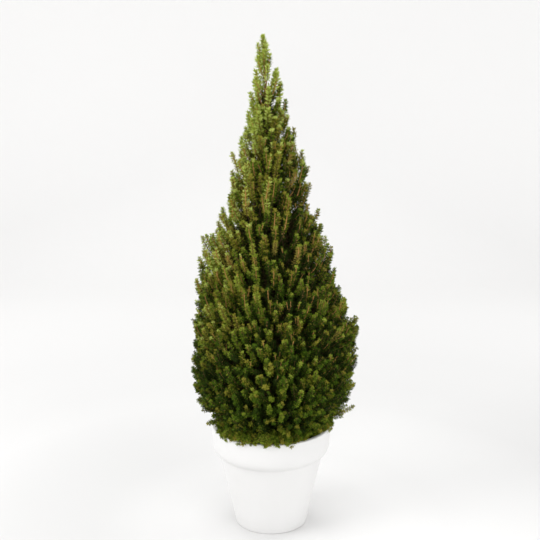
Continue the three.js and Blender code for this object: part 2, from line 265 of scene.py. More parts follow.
# ---------------------------------------------------------------- needles
NEEDLE_LENGTH = (7.4, 9.2)
SIDE_NEEDLE = (6.6, 8.4)
INNER_NEEDLE = (11, 14)
LEADER_NEEDLE = 10.5
SIDE_DENSITY = 2.4  # needles on a millimetre of shoot
OUTER_DENSITY = 3.3
LEADER_DENSITY = 4.0
INNER_DENSITY = 0.72
FEWEST = 6  # needles on a shoot
WHORL_SPACING = 8.0  # along a shoot, where needles stand a little closer
LEADER_TIP = TREE_TOP - 12
LEADER_CROWDING = 0.5
TIP_FADE = 5.0  # how far back from a shoot's tip its needles close up
TIP_SHORTER = 0.28  # how much shorter needles are at the tip
HOLLOW_SHORTER = 0.14  # and between whorls
OPENING_SPREAD = 9  # degrees
INNER_WIDTH = 4.6
WIDEST_AT = 0.6  # of a needle's length
FOLD = 0.25  # of its width
BUD_LENGTH = 0.5  # of a needle's
PIECE_FACES = 190000

# Where needles change their tone: as shares of a shoot, heights, and millimetres to the left.
DARK_SHARE = 0.42  # of a green shoot, from its foot, painted a shade darker
DARK_SHARE_SPREAD = 0.08
TIP_NEARNESS = 0.30
LOW_ZONE = 530  # below it, tips are hardly lighter than their shoots
FRESH_ABOVE = 900
PAINTED_LIGHT_FROM = 25
PAINTED_LIGHT_GAIN = 3.4  # millimetres of height that a millimetre to the left is worth, as painted light from the key light
LIGHT_DULL_ABOVE = 950
LEAFY_FOOT_ABOVE = 850  # above it, olive shoots are painted a shade darker, leaf green, at the foot
LEAFY_FOOT_SHARE = 0.2

# Tables of a height and a value there.
LONGER = [(500, 0), (640, 1.2), (940, 1.8), (1040, 3.2)]
DENSITY = [(940, 2.5), (1040, 3.4)]
CROWDING = [(300, 0.4), (420, 0.75)]  # how much closer needles stand in a whorl
OPENING = [(450, 80), (750, 70), (950, 60), (1150, 60), (LEADER_TIP, 54)]  # from the shoot, in degrees
CLOSING = [(450, 28), (700, 30), (1000, 24)]  # of that, at a shoot's tip
TUFT_SWING = [(800, 0.2), (1000, 0.28)]  # how much the length of needles differs from tuft to tuft
WIDTH = [(960, 1.9), (1060, 2.4)]
# darker low down and lighter high up: painted light and shade, and the fresher growth at the top
LIGHTER = [(262, -0.1), (330, -0.6), (480, -0.85), (700, 0.1), (850, 0.7), (1000, 1.6), (1100, 3.2)]
PAINTED_LEFT_LIGHT = [(380, 0.2), (620, 0.9), (720, 3.2), (900, 2.6)]  # what the left side gains: painted light from the key light on the left
BRONZED_SHARE = [(450, 0.0), (700, 0.05), (1000, 0.07), (1120, 0.12)]
DULL_SHARE = [(950, 0.45), (1040, 0.3)]  # of the freshest shoots, from their feet, painted a shade duller
WARM_LIMIT = [(450, 0.4), (700, 0.0), (1000, -0.2)]  # the lower this limit, the more shoots are warm
BUD_SHARE = [(430, 0.025), (600, 0.07), (1000, 0.10)]

TONES = [
    # name, colour, roughness
    ("deep_green", (0.022, 0.041, 0.005), 0.6),
    ("moss_green", (0.042, 0.076, 0.006), 0.55),
    ("leaf_green", (0.078, 0.140, 0.009), 0.55),
    ("olive_green", (0.190, 0.245, 0.022), 0.55),
    ("bronze_green", (0.330, 0.275, 0.055), 0.6),
    ("young_green", (0.290, 0.350, 0.045), 0.5),
    ("fresh_green", (0.450, 0.530, 0.115), 0.5),
    ("bud_brown", (0.400, 0.240, 0.085), 0.6),
    ("warm_leaf", (0.118, 0.138, 0.009), 0.55),
    ("warm_olive", (0.285, 0.265, 0.035), 0.55),
    ("shaded_green", (0.031, 0.045, 0.006), 0.7),
    ("shaded_brown", (0.044, 0.034, 0.012), 0.7),
]
DEEP, MOSS, LEAF, OLIVE, BRONZE, YOUNG, FRESH, BUD, WARM_LEAF, WARM_OLIVE, SHADED, BROWNED = range(len(TONES))

# ---------------------------------------------------------------- the camera and the lights
camera = bpy.data.objects.new("camera", bpy.data.cameras.new("camera"))
bpy.context.scene.collection.objects.link(camera)
camera.location = CAMERA_PLACE
camera.rotation_euler = (math.radians(90 - CAMERA_DIP), 0, 0)
camera.data.sensor_width = SENSOR_WIDTH
camera.data.lens = LENS
bpy.context.scene.camera = camera

bpy.context.scene.view_settings.view_transform = "Standard"
bpy.context.scene.view_settings.look = "None"


def soft_box(name, place, aim, size, power):
    """A square studio light facing a point."""
    lamp = bpy.data.lights.new(name, "AREA")
    lamp.shape = "SQUARE"
    lamp.size = size
    lamp.energy = power
    light = bpy.data.objects.new(name, lamp)
    light.location = place
    light.rotation_euler = (Vector(aim) - Vector(place)).to_track_quat("-Z", "Y").to_euler()
    bpy.context.scene.collection.objects.link(light)


for box in SOFT_BOXES:
    soft_box(*box)

sky = bpy.data.worlds.new("studio")
sky.use_nodes = True
sky.node_tree.nodes["Background"].inputs["Color"].default_value = (1, 1, 1, 1)
sky.node_tree.nodes["Background"].inputs["Strength"].default_value = SKY_STRENGTH
bpy.context.scene.world = sky


# ---------------------------------------------------------------- finishes
class Shade:
    """A number that varies over a surface. Sums and products of it become Math nodes."""

    def __init__(self, finish, socket):
        self.finish, self.socket = finish, socket

    def _math(self, operation, first, second):
        return self.finish.node("ShaderNodeMath", {"operation": operation}, {0: first, 1: second})

    def __add__(self, other):
        return self._math("ADD", self, other)

    def __rsub__(self, other):
        return self._math("SUBTRACT", other, self)

    def __mul__(self, other):
        return self._math("MULTIPLY", self, other)

    __radd__ = __add__
    __rmul__ = __mul__


class Finish:
    """A material with one Principled surface, and one way to add any other node."""

    def __init__(self, name, **constants):
        self.material = bpy.data.materials.new(name)
        self.material.use_nodes = True
        self.tree = self.material.node_tree
        self.surface = self.tree.nodes["Principled BSDF"]
        for socket, value in constants.items():
            self.set(socket.replace("_", " "), value)

    def set(self, socket, value):
        self._feed(self.surface.inputs[socket], value)

    def _feed(self, socket, value):
        if isinstance(value, Shade):
            self.tree.links.new(value.socket, socket)
        elif isinstance(value, tuple) and len(value) == 3 and len(socket.default_value) == 4:
            socket.default_value = (*value, 1)
        else:
            socket.default_value = value

    def node(self, kind, settings=None, inputs=None, output=0):
        made = self.tree.nodes.new(kind)
        for name, value in (settings or {}).items():
            if name == "stops":
                ramp = made.color_ramp
                while len(ramp.elements) < len(value):
                    ramp.elements.new(0.5)
                for stop, (place, colour) in zip(ramp.elements, value):
                    stop.position = place
                    stop.color = (*colour, 1)
            else:
                setattr(made, name, value)
        for name, value in (inputs or {}).items():
            self._feed(made.inputs[name], value)
        return Shade(self, made.outputs[output])

    def place(self, scale=(1, 1, 1)):
        """Object coordinates, stretched."""
        here = self.node("ShaderNodeTexCoord", output="Object")
        return self.node("ShaderNodeMapping", {}, {"Vector": here, "Scale": scale})

    def noise(self, place, scale, detail=3.0, roughness=0.5):
        inputs = {"Vector": place, "Scale": scale, "Detail": detail, "Roughness": roughness}
        return self.node("ShaderNodeTexNoise", {}, inputs)

    def ramp(self, value, *stops):
        return self.node("ShaderNodeValToRGB", {"stops": stops}, {0: value})

    def bump(self, height, strength, distance):
        inputs = {"Height": height, "Strength": strength, "Distance": distance}
        self.set("Normal", self.node("ShaderNodeBump", {}, inputs))


def white_plastic():
    finish = Finish("white_plastic", Specular_IOR_Level=0.5, IOR=1.46)
    here = finish.place()
    cloud = finish.noise(here, 7.0, 2.0)
    finish.set("Base Color", finish.ramp(cloud, (0.3, (0.770, 0.765, 0.757)), (0.7, (0.790, 0.786, 0.780))))
    finish.set("Roughness", 0.36 + 0.10 * finish.noise(here, 23.0, 4.0))
    finish.bump(finish.noise(here, 900.0, 2.0), 0.12, 0.0002)
    return finish.material


def compost():
    finish = Finish("compost", Roughness=0.95, Specular_IOR_Level=0.2)
    crumbs = finish.noise(finish.place(), 260.0, 6.0, 0.65)
    browns = [(0.3, (0.010, 0.007, 0.005)), (0.55, (0.045, 0.028, 0.017)), (0.8, (0.10, 0.065, 0.04))]
    finish.set("Base Color", finish.ramp(crumbs, *browns))
    finish.bump(crumbs, 0.9, 0.003)
    return finish.material


def rough_bark():
    """Grey-brown plates, and a younger, warmer bark towards the top of the trunk."""
    finish = Finish("rough_bark", Specular_IOR_Level=0.25)
    plates = finish.noise(finish.place((1, 1, 0.35)), 190.0, 5.0, 0.6)
    stain = finish.noise(finish.place(), 24.0, 3.0)
    browns = [(0.34, (0.035, 0.020, 0.012)), (0.52, (0.13, 0.075, 0.042)), (0.68, (0.24, 0.165, 0.11))]
    old = finish.ramp(0.75 * plates + 0.25 * stain, *browns)
    height = finish.node("ShaderNodeSeparateXYZ", {}, {0: finish.place()}, output=2)
    top = finish.node("ShaderNodeMapRange", {}, {"Value": height, "From Min": 0.92, "From Max": 1.06})
    younger = {0: top, 1: (0.28, 0.145, 0.05), 2: old}
    finish.set("Base Color", finish.node("ShaderNodeVectorMath", {"operation": "MULTIPLY_ADD"}, younger))
    finish.set("Roughness", 0.95 - 0.2 * plates)
    finish.bump(plates, 0.8, 0.0015)
    return finish.material


def paper_with_painted_light():
    """Pale paper with painted light and shade: a painted shadow at the pot's foot, painted light against the
    cast shadows and the fall of lamp light further away, and near the pot painted light on the right and
    painted shade on the left.
    """
    finish = Finish("paper_with_painted_light", Specular_IOR_Level=0.1)
    here = finish.place()
    cloud = finish.noise(here, 1.3, 2.0)
    away = finish.node("ShaderNodeVectorMath", {"operation": "LENGTH"}, {0: here}, output=1)
    # painted shadow and painted light by the distance from the pot
    stops = [(far / PAPER_REACH, (grey, grey * 0.996, grey * 0.99)) for far, grey in PAPER_PAINTED_LIGHT_GREYS]
    # painted side light: near the pot the paper is lighter to the right and darker to the left
    near = finish.node("ShaderNodeMath", {"operation": "MAXIMUM"}, {0: PAINTED_SIDE_LIGHT_RADIUS - away, 1: 0.0})
    across = finish.node("ShaderNodeSeparateXYZ", {}, {0: here})
    painted_side_light = {0: finish.ramp(1 / PAPER_REACH * away, *stops), "Scale": 1.0 + PAINTED_SIDE_LIGHT_SLOPE * across * near}
    finish.set("Base Color", finish.node("ShaderNodeVectorMath", {"operation": "SCALE"}, painted_side_light))
    finish.set("Roughness", 0.8 + 0.1 * cloud)
    return finish.material


def plain(name, colour, roughness):
    """A finish of one colour all over, for stems, twigs and needles."""
    return Finish(name, Base_Color=colour, Roughness=roughness, Specular_IOR_Level=0.07).material


# ---------------------------------------------------------------- meshes
def mesh_of(name, form):
    mesh = bpy.data.meshes.new(name)
    form.to_mesh(mesh)
    form.free()
    return mesh


def link_mesh(name, mesh, finish, smooth=True):
    piece = bpy.data.objects.new(name, mesh)
    bpy.context.scene.collection.objects.link(piece)
    mesh.materials.append(finish)
    mesh.polygons.foreach_set("use_smooth", [smooth] * len(mesh.polygons))
    return piece


def link_piece(name, mesh, finish, smooth=True):
    """A mesh as a piece of the plant."""
    piece = link_mesh(name, mesh, finish, smooth)
    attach(piece, "root")
    return piece


def joined(name, points, faces, finish, smooth=False):
    """One piece from arrays of points in millimetres and of faces with the same number of corners."""
    mesh = bpy.data.meshes.new(name)
    corners = faces.shape[1]
    mesh.vertices.add(len(points))
    mesh.vertices.foreach_set("co", (points * MM).astype(np.float32).ravel())
    mesh.loops.add(faces.size)
    mesh.loops.foreach_set("vertex_index", faces.astype(np.int32).ravel())
    mesh.polygons.add(len(faces))
    mesh.polygons.foreach_set("loop_start", np.arange(0, faces.size, corners, dtype=np.int32))
    mesh.update(calc_edges=True)
    return link_piece(name, mesh, finish, smooth)


def turned(profile, segments):
    """A round form spun from its profile, in millimetres, that starts and ends on the axis."""
    form = bmesh.new()
    line = [form.verts.new((radius * MM, 0, height * MM)) for radius, height in profile]
    edges = [form.edges.new(pair) for pair in zip(line, line[1:])]
    spun = {"cent": (0, 0, 0), "axis": (0, 0, 1), "angle": FULL_TURN, "steps": segments}
    bmesh.ops.spin(form, geom=line + edges, use_merge=True, **spun)
    bmesh.ops.remove_doubles(form, verts=form.verts, dist=1e-6)
    bmesh.ops.recalc_face_normals(form, faces=form.faces)
    return form


# ---------------------------------------------------------------- floor, pot and soil
def make_floor(finish):
    """A pale sheet that runs back and curves up behind."""
    form = bmesh.new()
    bmesh.ops.create_grid(form, x_segments=1, y_segments=1, size=FLOOR_HALF_WIDTH)
    back = [e for e in form.edges if all(v.co.y > 0.9 * FLOOR_HALF_WIDTH for v in e.verts)]
    made = bmesh.ops.extrude_edge_only(form, edges=back)["geom"]
    upper = [g for g in made if isinstance(g, bmesh.types.BMVert)]
    bmesh.ops.translate(form, vec=(0, 0, FLOOR_HALF_WIDTH), verts=upper)
    bmesh.ops.bevel(form, geom=back, affect="EDGES", offset=FLOOR_BEND, segments=16, profile=0.5, material=-1)
    bmesh.ops.recalc_face_normals(form, faces=form.faces)
    link_mesh("studio_floor", mesh_of("studio_floor", form), finish)


def rounded(corner_from, corner, corner_to, radius, steps=5):
    """Points of a rounded corner of a profile."""
    a, b, c = (Vector(p) for p in (corner_from, corner, corner_to))
    start = b + (a - b).normalized() * radius
    end = b + (c - b).normalized() * radius
    return [tuple(start.lerp(b, t).lerp(b.lerp(end, t), t)) for t in np.linspace(0, 1, steps)]


def make_pot(finish):
    """The pot turned in one: body, band with a rounded lower edge, flat lip, and the inside."""
    body = [
        (0, 0),
        (FOOT_RADIUS - 30, 0),
        *rounded((0, 0), (FOOT_RADIUS, 0), (BODY_TOP_RADIUS, BAND_BOTTOM), 2.4),
        (FOOT_RADIUS + 9.5, 46),
        (FOOT_RADIUS + 20, 96),
        (FOOT_RADIUS + 30.5, 143),
        (BODY_TOP_RADIUS - 1.2, BAND_BOTTOM - 5.4),
        (BODY_TOP_RADIUS - 0.2, BAND_BOTTOM - 1.2),
        (BODY_TOP_RADIUS + 1.2, BAND_BOTTOM - 0.2),
    ]
    band = [
        (BODY_TOP_RADIUS + 5.0, BAND_BOTTOM + 0.1),
        (BODY_TOP_RADIUS + 6.6, BAND_BOTTOM + 0.8),
        (BODY_TOP_RADIUS + 9.0, BAND_BOTTOM + 3.0),
        (BODY_TOP_RADIUS + 12.0, BAND_BOTTOM + 7.2),
        (BODY_TOP_RADIUS + 14.6, BAND_BOTTOM + 12.6),
        (BODY_TOP_RADIUS + 16.3, BAND_BOTTOM + 19.6),
        (BODY_TOP_RADIUS + 17.4, BAND_BOTTOM + 30),
        (BODY_TOP_RADIUS + 18.3, BAND_BOTTOM + 43),
        (BODY_TOP_RADIUS + 19.2, BAND_BOTTOM + 56),
        (RIM_RADIUS, POT_HEIGHT - 4),
    ]
    lip = [
        (RIM_RADIUS - 0.1, POT_HEIGHT - 2.2),
        (RIM_RADIUS - 0.7, POT_HEIGHT - 0.8),
        (RIM_RADIUS - 1.9, POT_HEIGHT),
        (RIM_RADIUS - LIP_WIDTH + 2.4, POT_HEIGHT - 0.5),
        (RIM_RADIUS - LIP_WIDTH + 0.8, POT_HEIGHT - 1.4),
        (RIM_RADIUS - LIP_WIDTH, POT_HEIGHT - 3.2),
        (RIM_RADIUS - LIP_WIDTH + 0.5, POT_HEIGHT - 5.4),
        (RIM_RADIUS - 8, POT_HEIGHT - 8),
    ]
    inside = [
        (RIM_RADIUS - 8, 236),
        (RIM_RADIUS - 10.6, 203),
        (BODY_TOP_RADIUS - 4, BAND_BOTTOM + 4),
        (FOOT_RADIUS + 15, 96),
        (FOOT_RADIUS - 4, 9),
        (0, 8),
    ]
    form = turned(body + band + lip + inside, POT_SEGMENTS)
    pot = link_piece("round_pot", mesh_of("round_pot", form), finish)
    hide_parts("pot")


def make_soil(finish):
    """A lumpy bed, dished towards the wall, with loose crumbs on it."""
    edge = SOIL_TOP - SOIL_DISH
    dished = [(0, SOIL_TOP), (60, SOIL_TOP - 1), (105, SOIL_TOP - 3), (SOIL_WALL, edge)]
    form = turned(dished + [(SOIL_WALL - 2, 215), (0, 215)], SOIL_SEGMENTS)
    top = [f for f in form.faces if f.normal.z > 0.7]
    edges = list({e for f in top for e in f.edges})
    bmesh.ops.subdivide_edges(form, edges=edges, cuts=5, use_grid_fill=True)
    for vertex in form.verts:
        if vertex.co.z > (edge - 1) * MM:
            lumps = noise.fractal(vertex.co * 90, 0.7, 2.0, 4) * 0.0028
            vertex.co.z += lumps if vertex.co.xy.length < (SOIL_WALL - 3) * MM else -0.001
    bmesh.ops.triangulate(form, faces=form.faces)
    bed = link_piece("compost_bed", mesh_of("compost_bed", form), finish)
    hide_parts("soil")
    make_crumbs(finish)


def make_crumbs(finish):
    """Uneven eight-sided crumbs strewn over the bed."""
    rng = np.random.default_rng(SEED + 1)
    far = np.sqrt(rng.uniform(0.03, 1, CRUMBS)) * (SOIL_WALL - 5)
    turn = rng.uniform(0, FULL_TURN, CRUMBS)
    size = rng.uniform(0.9, 3.1, CRUMBS) ** 1.15
    level = SOIL_TOP - 1 - SOIL_DISH * (far / SOIL_WALL) ** 2
    middle = np.stack([far * np.cos(turn), far * np.sin(turn), level], -1)
    middle[:, 2] += 0.35 * size
    shape = np.array([(1, 0, 0), (0, 1, 0), (-1, 0, 0), (0, -1, 0), (0, 0, 0.7), (0, 0, -0.7)], float)
    sides = np.array([(0, 1, 4), (1, 2, 4), (2, 3, 4), (3, 0, 4), (1, 0, 5), (2, 1, 5), (3, 2, 5), (0, 3, 5)])
    points = middle[:, None] + shape * rng.uniform(0.6, 1.3, (CRUMBS, 6, 3)) * size[:, None, None]
    faces = sides[None] + (np.arange(CRUMBS) * 6)[:, None, None]
    joined("compost_crumbs", points.reshape(-1, 3), faces.reshape(-1, 3), finish)


# ---------------------------------------------------------------- the rule that the source grows by
def by_height(z, table, column=1):
    """A value read from a table whose rows start with a height."""
    rows = np.array(table, float)
    return np.interp(z, rows[:, 0], rows[:, column])


def around_trunk(rho, angle, z):
    """Points by their distance from the trunk's line, direction round it and height."""
    x = by_height(z, TRUNK_LINE, 1) + rho * np.cos(angle)
    y = by_height(z, TRUNK_LINE, 2) + rho * np.sin(angle)
    return np.stack(np.broadcast_arrays(x, y, z), -1).astype(float)


def off_trunk(points):
    """How far points stand off the trunk's line, in x and y."""
    z = points[:, 2]
    return points[:, :2] - np.stack([by_height(z, TRUNK_LINE, 1), by_height(z, TRUNK_LINE, 2)], -1)


def rise(z):
    return by_height(z, SHOOT_RISE) * DEGREE


def reach(z, angle):
    """How far the foliage reaches from the trunk's line, at a height and in a direction."""
    swell = 1 + 0.035 * np.sin(3 * angle + z / 70) + 0.025 * np.sin(5 * angle - z / 45 + 1)
    far = by_height(z, OUTLINE) * swell
    for height, degrees, extra, width in SPRIGS:
        off = np.arctan2(np.sin(angle - degrees * DEGREE), np.cos(angle - degrees * DEGREE))
        far = far + extra * np.exp(-((off * far / width) ** 2) - ((z - height) / SPRIG_HEIGHT) ** 2)
    return far


def core_reach(z):
    """How far the dense inside reaches."""
    far = by_height(z, OUTLINE)
    return far - np.minimum(CORE_DEPTH, CORE_SHARE * far)


def trunk_radius(z):
    share = np.clip((z - SOIL_TOP) / (TRUNK_TOP - SOIL_TOP), 0, 1)
    flare = ROOT_FLARE * np.exp(-(z - SOIL_TOP) / FLARE_HEIGHT)
    return TRUNK_TIP_RADIUS + (TRUNK_FOOT_RADIUS - TRUNK_TIP_RADIUS) * (1 - share) ** 0.85 + flare


def run_to_outline(rho, z, angle, steep):
    """How far out of the dense inside each shoot runs before it meets the outline."""
    run = np.full(np.shape(z), float(CORE_DEPTH))
    for _ in range(12):
        short = reach(z + run * np.sin(steep), angle) - rho - run * np.cos(steep)
        run = np.clip(run + 0.8 * short, 0.6 * CORE_DEPTH, 3 * CORE_DEPTH)
    return run


def floor_of(index, rho):
    """The height at which a ring of masses starts, at a distance from the trunk's line."""
    if index >= len(RINGS):
        return ABOVE_ALL
    _, heel, edge, *_ = RINGS[index]
    if index == 0:
        return heel if rho < 0.86 * RIM_RADIUS else edge
    core_edge = core_reach(edge)
    if rho <= core_edge:
        return heel + (edge - heel) * rho / core_edge
    return edge + (rho - core_edge) * math.tan(rise(edge))


def bough_line(index, angle):
    """A bough's foot, bend and tip."""
    _, heel, edge, *_ = RINGS[index]
    tip_rho = BARE_SHARE * by_height(edge, OUTLINE)
    tip_z = 0.5 * (floor_of(index, tip_rho) + floor_of(index + 1, tip_rho))
    root_z = heel + 0.4 * (RINGS[index + 1][1] - heel)
    return [
        around_trunk(0, angle, root_z),
        around_trunk(0.55 * tip_rho, angle, root_z + 0.42 * (tip_z - root_z)),
        around_trunk(tip_rho, angle, tip_z),
    ]


# ---------------------------------------------------------------- trunk and boughs
def smooth_line(points, count):
    """A curve through a few points, as an array of evenly spaced ones."""
    points = np.asarray(points, float)
    padded = np.vstack([2 * points[0] - points[1], points, 2 * points[-1] - points[-2]])
    at = np.linspace(0, len(points) - 1 - 1e-9, count)
    k, t = at.astype(int), (at % 1)[:, None]
    a, b, c, d = (padded[k + n] for n in range(4))
    return 0.5 * (2 * b + (c - a) * t + (2 * a - 5 * b + 4 * c - d) * t**2 + (3 * b - a - 3 * c + d) * t**3)


def nearest(vertex, others):
    return min(others, key=lambda other: (other.co - vertex.co).length_squared)


def grow_limb(form, line, radii, sides):
    """A limb extruded ring by ring along its line, closed at both ends."""
    ring = bmesh.ops.create_circle(form, cap_ends=True, segments=sides, radius=1)["verts"]
    face = ring[0].link_faces[0]
    offsets = {v: v.co.copy() for v in ring}
    last = len(line) - 1
    for step, (point, radius) in enumerate(zip(line, radii)):
        along = Vector(line[min(step + 1, last)] - line[max(step - 1, 0)])
        turn = Vector((0, 0, 1)).rotation_difference(along).to_matrix()
        if step:
            made = bmesh.ops.extrude_discrete_faces(form, faces=[face])["faces"][0]
            offsets = {v: offsets[nearest(v, offsets)] for v in made.verts}
            face = made
        for vertex in face.verts:
            vertex.co = turn @ (offsets[vertex] * radius * MM) + Vector(point) * MM


def make_limbs(finish):
    """Trunk and boughs in one mesh with bark relief."""
    form = bmesh.new()
    line = around_trunk(0, 0.0, np.linspace(SOIL_TOP - 6, TRUNK_TOP, TRUNK_STEPS))
    line = smooth_line(line[:: TRUNK_STEPS // 12], TRUNK_STEPS)
    grow_limb(form, line, trunk_radius(np.maximum(line[:, 2], SOIL_TOP)), 14)
    boughs = []
    for index, (name, _, _, masses, turn, radius) in enumerate(RINGS):
        for n in range(masses if radius else 0):
            angle = turn * DEGREE + (n + 0.5) / masses * FULL_TURN
            line = smooth_line(bough_line(index, angle), BOUGH_STEPS)
            grow_limb(form, line, np.linspace(radius, BOUGH_TIP_RADIUS, BOUGH_STEPS), 8)
            boughs.append(f"{name}_bough_{n + 1}")
    for vertex in form.verts:
        here = vertex.co
        ridge = noise.fractal(Vector((here.x * 260, here.y * 260, here.z * 90)), 0.8, 2.0, 3)
        vertex.co = here + vertex.normal * ridge * 0.0009
    bmesh.ops.recalc_face_normals(form, faces=form.faces)
    limbs = link_piece("trunk_and_boughs", mesh_of("trunk_and_boughs", form), finish)
    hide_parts("trunk", *boughs)


# ---------------------------------------------------------------- shoots
class Shoots:
    """Shoots as arrays: each is a bent line root - elbow - tip, and bare of needles for its first share."""

    FIELDS = ("root", "elbow", "tip", "needle", "bare", "tone", "density")

    def __init__(self, root, elbow, tip, needle=0.0, bare=0.0, tone=0, density=0.0):
        many = len(root)
        self.root, self.elbow, self.tip = root, elbow, tip
        self.needle, self.bare, self.tone, self.density = (
            np.array(np.broadcast_to(value, many)) for value in (needle, bare, tone, density)
        )

    @classmethod
    def together(cls, parts):
        return cls(*(np.concatenate([getattr(part, field) for part in parts]) for field in cls.FIELDS))

    def at(self, index, share):
        """Points on the shoots at a share of their way."""
        s = share[..., None]
        root, elbow, tip = self.root[index], self.elbow[index], self.tip[index]
        return root * (1 - s) ** 2 + elbow * 2 * s * (1 - s) + tip * s**2

    def along(self, index, share):
        """The way that the shoots take there."""
        s = share[..., None]
        root, elbow, tip = self.root[index], self.elbow[index], self.tip[index]
        way = 2 * (elbow - root) * (1 - s) + 2 * (tip - elbow) * s
        return way / np.linalg.norm(way, axis=-1, keepdims=True)

    def lengths(self):
        return np.linalg.norm(self.elbow - self.root, axis=1) + np.linalg.norm(self.tip - self.elbow, axis=1)


def uneven(index, pace):
    """A number from -1 to 1 for each shoot, that hops about from one to the next."""
    return np.sin(index * pace)


def unit(vectors):
    return vectors / np.maximum(np.linalg.norm(vectors, axis=-1, keepdims=True), 1e-9)


def side_of(way):
    """A direction square to each of the given ones."""
    aside = np.where(np.abs(way[..., 2:3]) < 0.9, np.array([0.0, 0, 1]), np.array([1.0, 0, 0]))
    return unit(np.cross(way, aside))


def square_to(way, turn):
    """Directions square to the given ones, turned round them."""
    side = side_of(way)
    return side * np.cos(turn)[:, None] + np.cross(way, side) * np.sin(turn)[:, None]


def uneven_runs(rho, z, angle, steep, rng):
    """How far each leading shoot runs: by its rank, and in the upper crown by the clump it stands in."""
    clump = 0.5 + 0.5 * np.sin(17 * angle + z / 38) * np.sin(11 * angle - z / 29 + 1)
    high = by_height(z, UPPER_CROWN)
    run = run_to_outline(rho, z, angle, steep) * (0.82 + 0.26 * clump + high * (0.46 * clump - 0.27))
    rank = rng.choice(len(RANKS), len(z), p=RANKS[:, 0])
    return run * (RANKS[rank, 1] + high * RANKS[rank, 2]) - SHORT_OF_OUTLINE * high


def leading_shoots(rng):
    """Shoots in a golden-angle spiral, that leave the dense inside and run up to the outline."""
    heights = np.linspace(LEADING_FOOT, SPIRE_FOOT + 30, 400)
    share = np.cumsum(by_height(heights, OUTLINE) * by_height(heights, LEADING_CROWD))
    number = np.arange(LEADING_SHOOTS)
    many = len(number)
    even_z = np.interp((number + 0.5) / many, share / share[-1], heights)
    z = np.maximum(even_z + rng.uniform(-HEIGHT_JITTER, HEIGHT_JITTER, many), LEADING_FOOT - 4)
    angle = number * GOLDEN_TURN + rng.uniform(-TURN_JITTER, TURN_JITTER, many)
    level = rng.uniform(0, 1, many) < by_height(z, LEVEL_SHARE)
    steep = rise(z) * np.where(level, LEVEL_RISE, 1.0) + rng.normal(0, RISE_SPREAD, many) * DEGREE
    rho = core_reach(z)
    run = uneven_runs(rho, z, angle, steep, rng)
    rho = rho + rng.choice(SET_OUT, many, p=SET_OUT_SHARES)
    depth = rng.uniform(*ROOT_DEPTH, many)
    lean = rng.normal(0, LEAN, many) * run / np.maximum(rho, 25)
    below = steep - ROOT_DIP
    root = around_trunk(np.maximum(rho - depth * np.cos(below), 3), angle, z - depth * np.sin(below))
    tip_rho, tip_z = rho + run * np.cos(steep), z + run * np.sin(steep)
    tip = around_trunk(tip_rho, angle + lean, tip_z)
    upturn = np.minimum(steep + by_height(z, UPTURN) * DEGREE, STEEPEST * DEGREE)
    back = by_height(z, UPTURNED_SHARE) * run
    elbow = around_trunk(tip_rho - back * np.cos(upturn), angle + 0.4 * lean, tip_z - back * np.sin(upturn))
    return root, elbow, tip


def spire_shoots(rng):
    """Shoots that stand up round the leader, further apart than below, and the leader as the last."""
    number = np.arange(SPIRE_SHOOTS)
    share = (number + 0.5) / SPIRE_SHOOTS
    z = SPIRE_FOOT + (TREE_TOP - 42 - SPIRE_FOOT) * share + rng.uniform(-5, 5, SPIRE_SHOOTS)
    angle = number * GOLDEN_TURN + rng.uniform(-0.3, 0.3, SPIRE_SHOOTS)
    length = (84 - 52 * share) * rng.uniform(0.8, 1.15, SPIRE_SHOOTS)
    tip_z = np.minimum(z + 0.88 * length, TREE_TOP - 14)
    tip_rho = by_height(tip_z, OUTLINE) * rng.uniform(0.8, 1.12, SPIRE_SHOOTS)
    root = around_trunk(1, angle, z)
    elbow = around_trunk(0.82 * tip_rho, angle, z + 0.32 * length)
    tip = around_trunk(tip_rho, angle, tip_z)
    leader = [around_trunk(0, 0.0, z) for z in (TRUNK_TOP - 16, 0.5 * (TRUNK_TOP + TREE_TOP), TREE_TOP - 6)]
    return tuple(np.vstack([shoots, end]) for shoots, end in zip((root, elbow, tip), leader))


def skirt_shoots(rng):
    """Low shoots over the soil, the longest of them drooping over the rim of the pot."""
    many = SKIRT_SHOOTS
    angle = np.arange(many) * GOLDEN_TURN
    degrees = np.degrees(np.arctan2(np.sin(angle), np.cos(angle)))
    directions, reaches = np.array(SKIRT_REACH, float).T
    far = np.interp(degrees, directions, reaches) * rng.choice([0.72, 0.87, 1.0], many, p=[0.25, 0.3, 0.45])
    over = far > RIM_RADIUS - 6
    tip = around_trunk(far, angle, np.where(over, 257, 262) + rng.uniform(-3, 14, many))
    elbow = around_trunk(0.8 * far, angle + rng.normal(0, 0.1, many), 280 + rng.uniform(-4, 14, many))
    root = around_trunk(0.42 * far, angle, 262 + rng.uniform(0, 12, many))
    return root, elbow, tip


def outer_shoots():
    """Shoots that stand out of the rest: those at either side, and others spread over all directions."""
    number = np.arange(OUTER_SHOOTS)
    z = 340 + (1080 - 340) * (number + 0.5) / OUTER_SHOOTS
    turn = number * GOLDEN_TURN
    spread = np.stack([z, reach(z, turn) + 0.03 * by_height(z, OUTLINE)], -1)
    z, far = (np.vstack([RIGHT_TIPS, LEFT_TIPS, spread]) - OVER_TIP).T
    wobble = 4 * DEGREE * uneven(np.arange(len(z)), 2.4)
    angle = np.concatenate([wobble[: len(RIGHT_TIPS)], wobble[: len(LEFT_TIPS)] + math.pi, turn])
    length = by_height(z, OUTER_LENGTH)
    out, up = by_height(z, OUTER_SPREAD), by_height(z, OUTER_RISE)
    root = around_trunk(far - out * length, angle, z - up * length)
    elbow = around_trunk(far - 0.35 * out**4 * length, angle, z - 0.6 * up * length)
    return root, elbow, around_trunk(far, angle, z)


